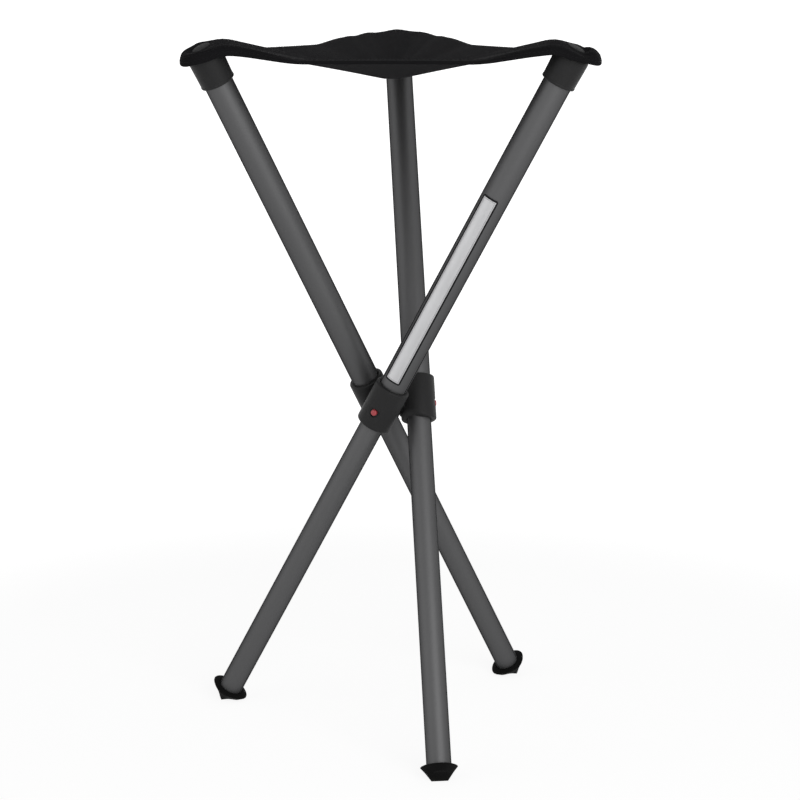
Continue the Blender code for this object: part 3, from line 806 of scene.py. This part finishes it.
def footBlank():
    base = foot["ridge"]
    floor = base + foot["floorHeight"]
    profile = [(0, base - foot["spare"]), (foot["ridgeHalf"], base - foot["spare"])]
    for step in range(foot["rings"]):
        share = step / foot["rings"]
        radius = foot["ridgeHalf"] + (foot["rim"] - foot["ridgeHalf"]) * share
        profile.append((radius, base + foot["rimHeight"] * share))
    profile += [
        (foot["rim"], base + foot["rimHeight"], foot["rimRound"]),
        (foot["neck"], base + foot["neckHeight"], foot["neckRound"]),
        (foot["socket"], base + foot["neckHeight"], foot["socketRound"]),
        (foot["socket"], floor),
        (foot["stem"], floor),
        (foot["stem"], floor + foot["stemLength"], foot["stemRound"]),
        (0, floor + foot["stemLength"]),
    ]
    shape = turned(profile, foot["sides"])
    low, high = foot["pinches"]
    beside, under = foot["socketWall"]
    for vert in shape.verts:
        if vert.co.xy.length > foot["socket"] + beside or vert.co.z < floor - under:
            share = min(max((vert.co.z - base) / foot["rimHeight"], 0), 1)
            turn = math.atan2(vert.co.y, vert.co.x)
            outer = min(max((vert.co.xy.length - foot["neck"]) / (foot["rim"] - foot["neck"]), 0), 1)
            vert.co.z -= foot["flankFall"] * math.cos(turn) ** 2 * outer * share
            shrink = 1 - (low + (high - low) * share) * math.sin(2 * turn) ** 2
            vert.co.x *= shrink
            vert.co.y *= shrink * (1 + (foot["stretch"] - 1) * share)
    return shape


def makeFoot(letter):
    shape = footBlank()
    ridge = Vector((0, 0, foot["ridge"]))
    hollow = foot["soleHollow"]
    chord = foot["soleLength"]
    bow = (chord * chord / 4 + hollow * hollow) / (2 * hollow)
    tilt = foot["soleTilt"]
    rollers = []
    for side in (-1, 1):
        normal = Vector((0, side * math.sin(tilt), -math.cos(tilt)))
        along = Vector((0, side * math.cos(tilt), math.sin(tilt)))
        trim(shape, ridge, normal)
        middle = ridge + along * (chord / 2) + normal * (bow - hollow)
        place = Matrix.Translation(middle) @ Matrix.Rotation(math.pi / 2, 4, "Y")
        rollers.append(bmesh.new())
        bmesh.ops.create_cone(
            rollers[-1], cap_ends=True, segments=foot["rollerSides"], radius1=bow, radius2=bow,
            depth=foot["rollerLength"], matrix=place,
        )
    bmesh.ops.recalc_face_normals(shape, faces=shape.faces)
    for roller in rollers:
        shape = combined(shape, roller, "DIFFERENCE")
    legPiece("rubberFoot", shape, letter, rubber, "lower_leg_", "rubber_foot_")


label = {
    "start": 0.0315,
    "length": 0.1830,
    "halfAngle": math.radians(35),
    "radius": 0.0123,
    "thickness": 0.0003,
    "cornerRound": 0.0016,
    "bendSteps": 24,
}


def makeLabel():
    halfWidth = (label["radius"] + label["thickness"]) * label["halfAngle"]
    halfLength = label["length"] / 2
    shape = bmesh.new()
    bmesh.ops.create_grid(shape, x_segments=1, y_segments=1, size=1)
    bmesh.ops.scale(shape, vec=(halfWidth, halfLength, 1), verts=shape.verts)
    roundCorners(shape, shape.verts[:], label["cornerRound"])
    for step in range(1, label["bendSteps"]):
        spot = halfWidth * (2 * step / label["bendSteps"] - 1)
        bmesh.ops.bisect_plane(shape, geom=everything(shape), plane_co=(spot, 0, 0), plane_no=(1, 0, 0))
    flat = shape.loops.layers.uv.new("flat")
    bmesh.ops.recalc_face_normals(shape, faces=shape.faces)
    bmesh.ops.solidify(shape, geom=shape.faces[:], thickness=label["thickness"])
    for face in shape.faces:
        for loop in face.loops:
            loop[flat].uv = loop.vert.co.xy
    middle = label["start"] + halfLength
    low = min(vert.co.z for vert in shape.verts)
    for vert in shape.verts:
        across, along, depth = vert.co
        angle = across / halfWidth * label["halfAngle"]
        radius = label["radius"] + depth - low
        vert.co = (radius * math.cos(angle), radius * math.sin(angle), middle + along)
    bmesh.ops.recalc_face_normals(shape, faces=shape.faces)
    piece = onLeg("legLabel", shape, "a", foilFinish(halfWidth, halfLength))
    settle(piece, "leg_a", "leg_label")


for letter in legLetters:
    makeTubes(letter)
    makeCollar(letter)
    makeButton(letter)
    makeCap(letter)
    makeRivet(letter)
    makeFoot(letter)
makeLabel()
print("legs made")


# seat: a sling that turns down over the three caps

seat = {
    "corners": {  # of legs a, b and c
        "sagBefore": (0.0082, 0.0027, 0.0027),  # of the sides; the front one, from c to a, hangs lower
        "sagAfter": (0.0027, 0.0027, 0.0082),
        "peak": (0.0054, 0.0051, 0.0054),  # of the rim, level to peakTurn and gone at fall
        "fall": (math.radians(24.2), math.radians(46.9), math.radians(24.2)),
        "dip": (0, 0.0012, 0),  # small scallops of the edge beside the corner
        "dish": (0, 0.0010, 0.0006),  # how far the cloth stands up round the rivet
        "noseDish": (0.0062, 0.0034, 0.0034),  # outside the rivet
        "noseTurn": (math.radians(32), 0, 0),
        "noseSpan": ((0.35, 0.97), (-0.2, 0.9), (-0.2, 0.9)),  # cosines of the turn from the nose
        "hemNoseDish": (0.0046, 0.0034, 0.0034),
        "skirtOut": (0.0062, 0.0044, 0.0032),
    },
    "thickness": 0.0028,
    "crown": 0.352,  # of the upper face on a leg's line, from the pivot
    "cornerRound": 0.0142,  # about the leg, in plan
    "sideReach": 0.0870,
    "sag": 0.0269,
    "peakTurn": math.radians(2.7),
    "lift": 0.0098,
    "liftTurn": math.radians(8.8),
    "dipTurn": math.radians(15),
    "dipWidth": math.radians(3),
    "curve": 0.92,  # under 1 it is steeper in the middle
    "middleRound": 0.03,
    "bend": 0.0070,  # softens the line where the sling meets a cap's top
    "hemDish": 0.0010,  # as dish, for the line that the turned-down edge hangs from
    "hemNoseSpan": (-0.2, 0.9),
    "dishStart": 0.0078,
    "dishEnd": 0.0125,
    "skirtTurn": math.radians(24.4),
    "skirtDrop": 0.0102,
    "tipLift": 0.0018,
    "tipTurn": math.radians(16.9),
    "lean": 0.12,
    "hemWidth": 0.0075,
    "hemDrop": 0.0011,
    "levelRuns": (0.03, 0.12),  # nearest run to the middle with a slope, and where level cloth ends
    "steps": 56,  # from a corner's heading to the middle of a side
    "evenness": 0.20,
    "slingRows": 34,
    "rowCrowding": 1.3,  # towards the crest
    "skirtRows": 12,
    "edgeRows": 6,
    "underRows": 26,
    "smoothSweeps": 2,
    "smoothing": 0.35,
    "pucker": 0.00016,
    "puckerPitch": 0.0085,
    "puckerReach": 0.0045,  # from the edge
    "bendReach": 0.125,  # from the line to a side
    "cutSize": (0.085, 0.205),  # of a half sector
    "cutArea": 0.0095,
}
sector = math.pi / 3  # from a corner's heading to the middle of a side
slopeStep = 0.004  # over which the cloth's slope is measured
halves = (("Right", -1), ("Left", 1))  # of a corner, seen from the middle, and the side that they turn to


class SeatCorner:
    def __init__(self, index):
        self.index = index
        self.letter = legLetters[index]
        place = legFrame(self.letter)
        self.top = place @ Vector((0, 0, seat["crown"]))
        self.up = place.to_3x3() @ Vector((0, 0, 1))
        self.heading = math.atan2(self.top.y, self.top.x)
        self.reach = self.top.xy.length
        for name, values in seat["corners"].items():
            setattr(self, name, values[index])

    def crest(self, offset):  # the line in plan where the cloth turns down, at a turn from the heading
        turn = abs(offset)
        bow = seat["cornerRound"]
        touch = math.atan2(bow * math.sin(sector), self.reach + bow * math.cos(sector))
        if turn <= touch:
            across = self.reach * math.sin(turn)
            radius = self.reach * math.cos(turn) + math.sqrt(bow * bow - across * across)
        else:
            share = ((sector - turn) / (sector - touch)) ** 2
            tangent = self.reach * math.cos(sector) + bow
            radius = seat["sideReach"] + (tangent - seat["sideReach"]) * share
            radius /= math.cos(sector - turn)
        angle = self.heading + offset
        return Vector((math.cos(angle), math.sin(angle))) * radius

    def outwards(self, offset):
        step = math.radians(0.2)
        along = self.crest(offset + step) - self.crest(offset - step)
        return Vector((along.y, -along.x)).normalized()

    def rise(self, fromLeg, turn, span, low, high):  # how far the cloth stands up round a rivet
        angle = self.heading + turn
        nose = fromLeg.dot(Vector((math.cos(angle), math.sin(angle)))) / max(fromLeg.length, 1e-6)
        return low + (high - low) * ease(nose, *span)

    def sling(self, offset, share):  # a point of the upper face, from the middle to the crest
        plan = self.crest(offset) * share
        fromLeg = plan - self.top.xy
        flat = -fromLeg.dot(self.up.xy) / self.up.z
        dish = self.rise(fromLeg, self.noseTurn, self.noseSpan, self.dish, self.noseDish)
        flat += dish * ease(fromLeg.length, seat["dishStart"], seat["dishEnd"])
        sag = self.sagBefore if offset < 0 else self.sagAfter
        peak = 1 - ease(abs(offset), seat["peakTurn"], self.fall)
        lift = 1 - ease(abs(offset), 0, seat["liftTurn"])
        dip = math.exp(-((abs(offset) - seat["dipTurn"]) / seat["dipWidth"]) ** 2)
        rim = -sag + (self.peak + sag) * peak + seat["lift"] * lift - self.dip * dip
        soft = seat["middleRound"]
        run = (math.hypot(share, soft) - soft) / (math.hypot(1, soft) - soft)
        height = -seat["sag"] + (rim + seat["sag"]) * run ** seat["curve"]
        near = max(seat["bend"] - abs(height - flat), 0) / seat["bend"]
        height = min(height, flat) - near * near * seat["bend"] / 4
        return Vector((plan.x, plan.y, self.top.z + height))

    def skirt(self, offset, share):  # a point of the edge: turned down at a corner, flat along a side
        corner = 1 - ease(abs(offset), 0, seat["skirtTurn"])
        tip = 1 - ease(abs(offset), 0, seat["tipTurn"])
        curl = seat["lean"] * share + (1 - seat["lean"]) * share * share
        fromLeg = self.crest(offset) - self.top.xy
        excess = self.rise(fromLeg, self.noseTurn, self.noseSpan, self.dish, self.noseDish)
        excess -= self.rise(fromLeg, 0, seat["hemNoseSpan"], seat["hemDish"], self.hemNoseDish)
        down = (seat["skirtDrop"] - seat["tipLift"] * tip + excess) * curl * corner
        down += seat["hemDrop"] * share * (1 - corner)
        out = self.skirtOut * math.sin(math.pi / 2 * share) * corner
        out += seat["hemWidth"] * share * (1 - corner)
        side = self.outwards(offset) * out
        return self.sling(offset, 1) + Vector((side.x, side.y, -down))

    def point(self, offset, run):  # run is 0 in the middle, 1 at the crest and 2 at the edge
        return self.sling(offset, run) if run <= 1 else self.skirt(offset, run - 1)

    def sideways(self, offset, run):
        return self.point(offset + slopeStep, run) - self.point(offset - slopeStep, run)

    def normal(self, offset, run):
        nearest, levelEnd = seat["levelRuns"]
        low = min(max(run, nearest), 2 - slopeStep)
        outwards = self.point(offset, low + slopeStep) - self.point(offset, low - slopeStep)
        slope = outwards.cross(self.sideways(offset, low)).normalized()
        level = 1 - ease(run, 0, levelEnd)
        return slope.lerp(Vector((0, 0, 1)), level).normalized()


seatCorners = [SeatCorner(index) for index in range(len(legLetters))]


def seatRuns():  # (run, layer) of each row; layer is 0 on the upper face, 1 on the lower one
    sling, under = seat["slingRows"], seat["underRows"]
    rows = [(1 - (1 - row / sling) ** seat["rowCrowding"], 0) for row in range(sling)]
    rows += [(1 + row / seat["skirtRows"], 0) for row in range(seat["skirtRows"])]
    rows += [(2, row / seat["edgeRows"]) for row in range(seat["edgeRows"] + 1)]  # the rolled edge
    rows += [(2 * (1 - row / under), 1) for row in range(1, under + 1)]
    return rows


def seatTurns():  # angles from a corner's heading, closer together near it
    turns = []
    for step in range(-seat["steps"], seat["steps"] + 1):
        share = abs(step) / seat["steps"]
        turn = sector * (seat["evenness"] * share + (1 - seat["evenness"]) * share * share)
        turns.append(math.copysign(turn, step))
    return turns


def makeSector(corner, turns, rows):
    shape = bmesh.new()
    across = len(turns) - 1
    down = len(rows) - 1
    bmesh.ops.create_grid(shape, x_segments=across, y_segments=down, size=1)
    cut = shape.loops.layers.uv.new("cut")
    hem = shape.loops.layers.uv.new("hem")
    owner = shape.faces.layers.int.new("owner")
    edgeRow = max(row for row, (_, layer) in enumerate(rows) if layer == 0)
    paths = [[corner.point(turn, run) for run, _ in rows] for turn in turns]
    walks = [0]  # along the edge
    for first, second in zip(paths, paths[1:]):
        walks.append(walks[-1] + (second[edgeRow] - first[edgeRow]).length)
    columns = []
    for path, walk in zip(paths, walks):
        lengths = [0]
        for first, second in zip(path, path[1:]):
            lengths.append(lengths[-1] + (second - first).length)
        columns.append((path, lengths[edgeRow], lengths, min(walk, walks[-1] - walk)))
    places = {}
    for vert in shape.verts:
        column = round((vert.co.x + 1) / 2 * across)
        row = round((vert.co.y + 1) / 2 * down)
        places[vert] = (column, row)
    for face in shape.faces:
        half = min(places[vert][0] for vert in face.verts) * 2 >= across
        face[owner] = corner.index * len(halves) + half
        for loop in face.loops:
            column, row = places[loop.vert]
            _, total, lengths, walk = columns[column]
            length = lengths[row] if row <= edgeRow else total * 2 - lengths[row]
            angle = corner.heading + turns[column]
            loop[cut].uv = (length * math.cos(angle), length * math.sin(angle))
            loop[hem].uv = (walk, max(total - length, 0))
    radius = seat["thickness"] / 2
    for vert in shape.verts:
        column, row = places[vert]
        run, layer = rows[row]
        path, total, lengths, walk = columns[column]
        turn = turns[column]
        up = corner.normal(turn, run)
        fromEdge = max(total - lengths[row], 0) if row <= edgeRow else lengths[row] - total
        wave = math.sin(2 * math.pi * walk / seat["puckerPitch"]) * seat["pucker"]
        wave *= math.exp(-((fromEdge - seat["puckerReach"]) / seat["puckerReach"]) ** 2)
        spot = path[row] + up * wave
        if 0 < layer < 1:
            out = corner.sideways(turn, 2).cross(up).normalized()
            angle = math.pi * layer
            vert.co = spot - up * radius + (up * math.cos(angle) + out * math.sin(angle)) * radius
        else:
            vert.co = spot - up * radius * 2 * layer
    return shape


def closeBorders(shape, heading):  # walls inside the cloth, where a half sector meets its neighbours
    rim = [edge for edge in shape.edges if edge.is_boundary]
    ends = {vert for edge in rim for vert in edge.verts}
    middle = shape.edges.new(sorted(ends, key=lambda vert: vert.co.xy.length)[:2])
    for side in (-1, 1):
        across = Vector((-math.sin(heading), math.cos(heading))) * side
        border = [edge for edge in rim if (edge.verts[0].co + edge.verts[1].co).xy.dot(across) > 0]
        bmesh.ops.edgeloop_fill(shape, edges=border + [middle])
    bmesh.ops.recalc_face_normals(shape, faces=shape.faces)


def wholeSeat():
    turns = seatTurns()
    rows = seatRuns()
    whole = bmesh.new()
    for corner in seatCorners:
        mesh = bpy.data.meshes.new("sector")
        shape = makeSector(corner, turns, rows)
        shape.to_mesh(mesh)
        shape.free()
        whole.from_mesh(mesh)
        bpy.data.meshes.remove(mesh)
    bmesh.ops.remove_doubles(whole, verts=whole.verts, dist=weld)
    bmesh.ops.recalc_face_normals(whole, faces=whole.faces)
    for sweep in range(seat["smoothSweeps"]):
        bmesh.ops.smooth_vert(
            whole, verts=whole.verts, factor=seat["smoothing"],
            use_axis_x=True, use_axis_y=True, use_axis_z=True,
        )
    whole.normal_update()
    return whole


def cutHalf(whole, corner, half):  # one of the six pieces, which keeps the whole seat's normals
    name, side = halves[half]
    part = whole.copy()
    owner = part.faces.layers.int["owner"]
    normals = part.verts.layers.float_vector.new("wholeNormal")
    for vert in part.verts:
        vert[normals] = vert.normal
    away = [face for face in part.faces if face[owner] != corner.index * len(halves) + half]
    bmesh.ops.delete(part, geom=away, context="FACES")
    closeBorders(part, corner.heading + side * sector / 2)
    part.verts.index_update()
    directions = [vert[normals].copy() for vert in part.verts]
    part.verts.layers.float_vector.remove(normals)
    piece = meshObject("seatCloth" + corner.letter.upper() + name, part, cloth, allSmooth)
    piece.data.normals_split_custom_set_from_vertices(directions)
    return piece


stitch = {
    "rows": (0.0020, 0.0064),  # from the cloth's edge
    "rowSteps": 160,
    "edgeSteps": 60,  # from the edge to the crest
    "pitch": 0.0034,
    "length": 0.0025,
    "width": 0.00055,
    "height": 0.00042,
    "segments": (6, 5),
    "patchReaches": (0.0270, 0.0306),  # of the corner patch's two seams, from the rivet
    "patchTurn": math.radians(8.0),
    "patchSteps": 40,
    "patchRuns": (0.5, 1.0),  # between which a seam is looked for
    "patchSlack": 0.0005,
    "halvings": 24,
}


def sewLine(shape, path):  # path holds (point, normal)
    walked = stitch["pitch"] / 2
    around, down = stitch["segments"]
    for (first, up), (second, _) in zip(path, path[1:]):
        step = (second - first).length
        while walked < step:
            spot = first.lerp(second, walked / step)
            along = (second - first).normalized()
            side = up.cross(along).normalized()
            turn = Matrix((along, side, along.cross(side))).transposed().to_4x4()
            size = Matrix.Diagonal((stitch["length"] / 2, stitch["width"] / 2, stitch["height"] / 2, 1))
            place = Matrix.Translation(spot) @ turn @ size
            bmesh.ops.create_uvsphere(shape, u_segments=around, v_segments=down, radius=1, matrix=place)
            walked += stitch["pitch"]
        walked -= step


def runAtEdge(corner, turn, distance):  # the run of a spoke's point at a distance from the edge
    steps = stitch["edgeSteps"]
    spots = [2 - step / steps for step in range(steps + 1)]
    points = [corner.point(turn, run) for run in spots]
    length = 0
    for first, second, run in zip(points, points[1:], spots):
        step = (second - first).length
        if length + step >= distance:
            return run - (distance - length) / step / steps
        length += step
    return 1


def runAtRivet(corner, turn, reach):  # the same, at a distance from the rivet
    low, high = stitch["patchRuns"]
    for halving in range(stitch["halvings"]):
        middle = (low + high) / 2
        if (corner.point(turn, middle).xy - corner.top.xy).length > reach:
            low = middle
        else:
            high = middle
    return low


def makeStitches(corner, half):
    name, side = halves[half]
    shape = bmesh.new()
    for distance in stitch["rows"]:
        path = []
        for step in range(stitch["rowSteps"] + 1):
            turn = side * sector * step / stitch["rowSteps"]
            run = runAtEdge(corner, turn, distance)
            path.append((corner.point(turn, run), corner.normal(turn, run)))
        sewLine(shape, path)
    for reach in stitch["patchReaches"]:
        path = []
        for step in range(stitch["patchSteps"] + 1):
            turn = side * stitch["patchTurn"] * step / stitch["patchSteps"]
            run = runAtRivet(corner, turn, reach)
            spot = corner.point(turn, run)
            if abs((spot.xy - corner.top.xy).length - reach) < stitch["patchSlack"]:
                path.append((spot, corner.normal(turn, run)))
        sewLine(shape, path)
    return meshObject("hemStitches" + corner.letter.upper() + name, shape, thread, allSmooth)


def settleHalf(piece, corner, half):
    stitches = makeStitches(corner, half)
    for thing in (piece, stitches):
        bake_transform(thing)
    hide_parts("seat")


whole = wholeSeat()
cuts = [(corner, half) for corner in seatCorners for half in range(len(halves))]
pieces = [cutHalf(whole, *cut) for cut in cuts]
whole.free()
for piece, cut in zip(pieces, cuts):
    settleHalf(piece, *cut)
print("seat made")


# inner pieces: the hub is shortened so that the collars hide it, and a lock's pin so that it clears the upper
# tube; the others keep their own solids

hub = {"halfHeight": 0.0098, "endRound": 0.0012, "endSegments": 4}


def makeHub():
    shape = nodeShape("centre_hub")
    height = joints["fold_a"]["pos_m"][2]
    ends = []
    for side in (-1, 1):
        ends += trim(shape, (0, 0, height + side * hub["halfHeight"]), (0, 0, side))
    bmesh.ops.bevel(
        shape, geom=[edge for face in ends for edge in face.edges], affect="EDGES", offset=hub["endRound"],
        offset_type="OFFSET", segments=hub["endSegments"], profile=0.5, material=-1,
    )
    bmesh.ops.recalc_face_normals(shape, faces=shape.faces)
    settle(meshObject("centreHub", shape, nylon), "hub", "centre_hub")


pinTip = 0.0103  # of a lock spring, from the leg's middle


def makeSpring(letter):
    shape = nodeShape("lock_spring_" + letter)
    bmesh.ops.transform(shape, matrix=legFrame(letter).inverted(), verts=shape.verts)
    trim(shape, (pinTip, 0, 0), (1, 0, 0))
    legPiece("lockSpring", shape, letter, steel, "lower_leg_", "lock_spring_")


makeHub()
for letter in legLetters:
    makeSpring(letter)
innerFinishes = {
    "pivot_pin_": steel,
    "pivot_washer_": whiteNylon,
    "guide_plug_": whiteNylon,
}
for name, node in frame["nodes"].items():
    for start, material in innerFinishes.items():
        if name.startswith(start):
            node.data.materials.clear()
            node.data.materials.append(material)
print("inner pieces finished")


# studio

studio = {
    "floorSize": 160,
    "floorDrop": 0.0002,  # under the soles
    "floorColour": (0.92, 0.92, 0.92),
    "floorRoughness": 0.9,
    "shadowShare": 0.30,
    "floorGlow": 1.27,  # as seen, so that the lit floor shows white
    "shadowReach": (0.45, 1.3),  # from the middle, over which the shadows fade out
    "skyForLight": 0.17,
    "lamps": (
        ("keyLamp", (1.15, -2.58, 1.00), 2.4, 43),
        ("fillLamp", (-2.4, -1.2, 0.9), 2.2, 9),
        ("topLamp", (0.2, 0.3, 2.6), 1.6, 1),
    ),
    "aim": (0, 0, 0.30),
}


def seenRays(nodes):  # 1 for rays that look at the background
    rays = nodes.node("ShaderNodeLightPath")
    outputs = rays.socket.node.outputs
    seen = Wire(nodes, outputs["Is Camera Ray"])
    for name in ("Is Glossy Ray", "Is Transmission Ray"):
        seen = seen.most(Wire(nodes, outputs[name]))
    return seen


def makeFloor():
    finish = Finish("paleFloor")
    finish.surface({
        "Base Color": studio["floorColour"],
        "Roughness": studio["floorRoughness"],
        "Specular IOR Level": 0.0,
    })
    plain = Wire(finish, finish.shader.outputs[0])
    white = finish.node("ShaderNodeEmission", {}, {"Color": (1, 1, 1), "Strength": studio["floorGlow"]})
    across, along, _ = finish.parts(finish.objectSpace())
    far = (across * across + along * along).root().rise(*studio["shadowReach"])
    share = studio["shadowShare"] * (1 - far)
    pale = finish.node("ShaderNodeMixShader", {}, {0: share, 1: white, 2: plain})
    shown = finish.node("ShaderNodeMixShader", {}, {0: seenRays(finish), 1: plain, 2: pale})
    finish.feed(finish.tree.nodes["Material Output"].inputs["Surface"], shown)
    shape = bmesh.new()
    place = Matrix.Translation((0, 0, -studio["floorDrop"]))
    bmesh.ops.create_grid(shape, x_segments=4, y_segments=4, size=studio["floorSize"] / 2, matrix=place)
    meshObject("floor", shape, finish.material)


def makeWorld():
    world = bpy.data.worlds.new("studioWorld")
    world.use_nodes = True
    scene.world = world
    nodes = Nodes(world.node_tree)
    background = world.node_tree.nodes["Background"]
    light = studio["skyForLight"]
    nodes.feed(background.inputs["Color"], (1, 1, 1))
    nodes.feed(background.inputs["Strength"], light + (1 - light) * seenRays(nodes))


def makeLamps():
    for name, place, size, power in studio["lamps"]:
        lamp = bpy.data.lights.new(name, "AREA")
        lamp.shape = "SQUARE"
        lamp.size = size
        lamp.energy = power
        holder = bpy.data.objects.new(name, lamp)
        holder.location = place
        away = Vector(place) - Vector(studio["aim"])
        holder.rotation_euler = away.to_track_quat("Z", "Y").to_euler()
        scene.collection.objects.link(holder)


view = {
    "place": (0, -1.7419, 0.6629),
    "pitch": math.radians(90 - 12.752),
    "turn": math.radians(-0.234),
    "lens": 92.305,
    "sensor": 36,
    "rise": 0.02823,
}


def makeCamera():
    camera = bpy.data.cameras.new("camera")
    camera.lens = view["lens"]
    camera.sensor_width = view["sensor"]
    camera.shift_y = view["rise"]
    holder = bpy.data.objects.new("camera", camera)
    holder.location = view["place"]
    holder.rotation_euler = (view["pitch"], 0, view["turn"])
    scene.collection.objects.link(holder)
    scene.camera = holder


makeFloor()
makeWorld()
makeLamps()
makeCamera()
scene.view_settings.view_transform = "Standard"
print("studio made")
